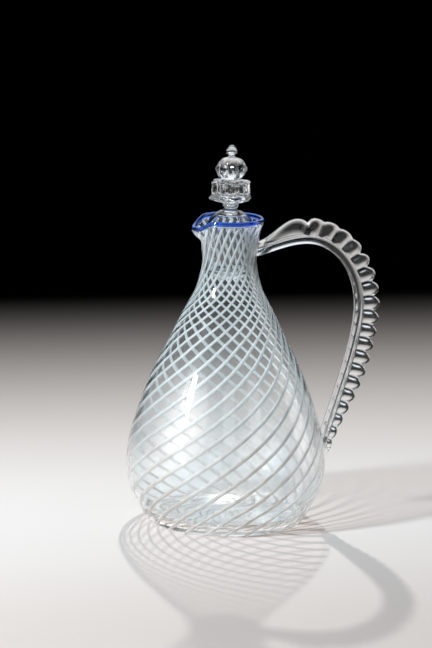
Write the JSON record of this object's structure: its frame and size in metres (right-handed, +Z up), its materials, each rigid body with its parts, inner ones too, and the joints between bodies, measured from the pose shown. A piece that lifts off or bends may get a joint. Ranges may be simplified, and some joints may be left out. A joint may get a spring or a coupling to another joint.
{
  "type": "glass jug",
  "caption": "Blown glass jug with twisted white canes in its clear wall, a blue lip, one pinched loop handle and a loose glass stopper, for holding and pouring oil, wine or water.",
  "frame": {"origin": "on the surface that the jug stands on, under the middle of the box round the whole object", "axes": "+Z up along the jug's axis, +X towards the handle, -X towards the pulled lip, +Y across the jug"},
  "size_m": [0.1434, 0.1118, 0.2131],
  "materials": {
    "clear_glass": "clear blown soda glass, fire polished",
    "white_glass": "milk-white cane, slightly translucent, fire polished",
    "blue_glass": "cobalt blue glass thread, fire polished"
  },
  "bodies": {
    "jug": {"vessel": "clear_glass", "cane_01": "white_glass", "cane_02": "white_glass", "cane_03": "white_glass", "cane_04": "white_glass", "cane_05": "white_glass", "cane_06": "white_glass", "cane_07": "white_glass", "cane_08": "white_glass", "cane_09": "white_glass", "cane_10": "white_glass", "cane_11": "white_glass", "cane_12": "white_glass", "cane_13": "white_glass", "cane_14": "white_glass", "cane_15": "white_glass", "cane_16": "white_glass", "cane_17": "white_glass", "cane_18": "white_glass", "cane_19": "white_glass", "cane_20": "white_glass", "cane_21": "white_glass", "cane_22": "white_glass", "cane_23": "white_glass", "cane_24": "white_glass", "lip_wrap": "blue_glass", "handle_rod": "clear_glass", "handle_trail": "clear_glass"},
    "stopper": {"stopper_plug": "clear_glass", "stopper_gather": "clear_glass", "stopper_lower_knop": "clear_glass", "stopper_upper_knop": "clear_glass", "stopper_finial": "clear_glass"}
  },
  "joints": [
    {"name": "stopper_lift", "type": "slide", "parent": "jug", "child": "stopper", "axis": [0, 0, 1], "range_m": [0, 0.05]}
  ]
}
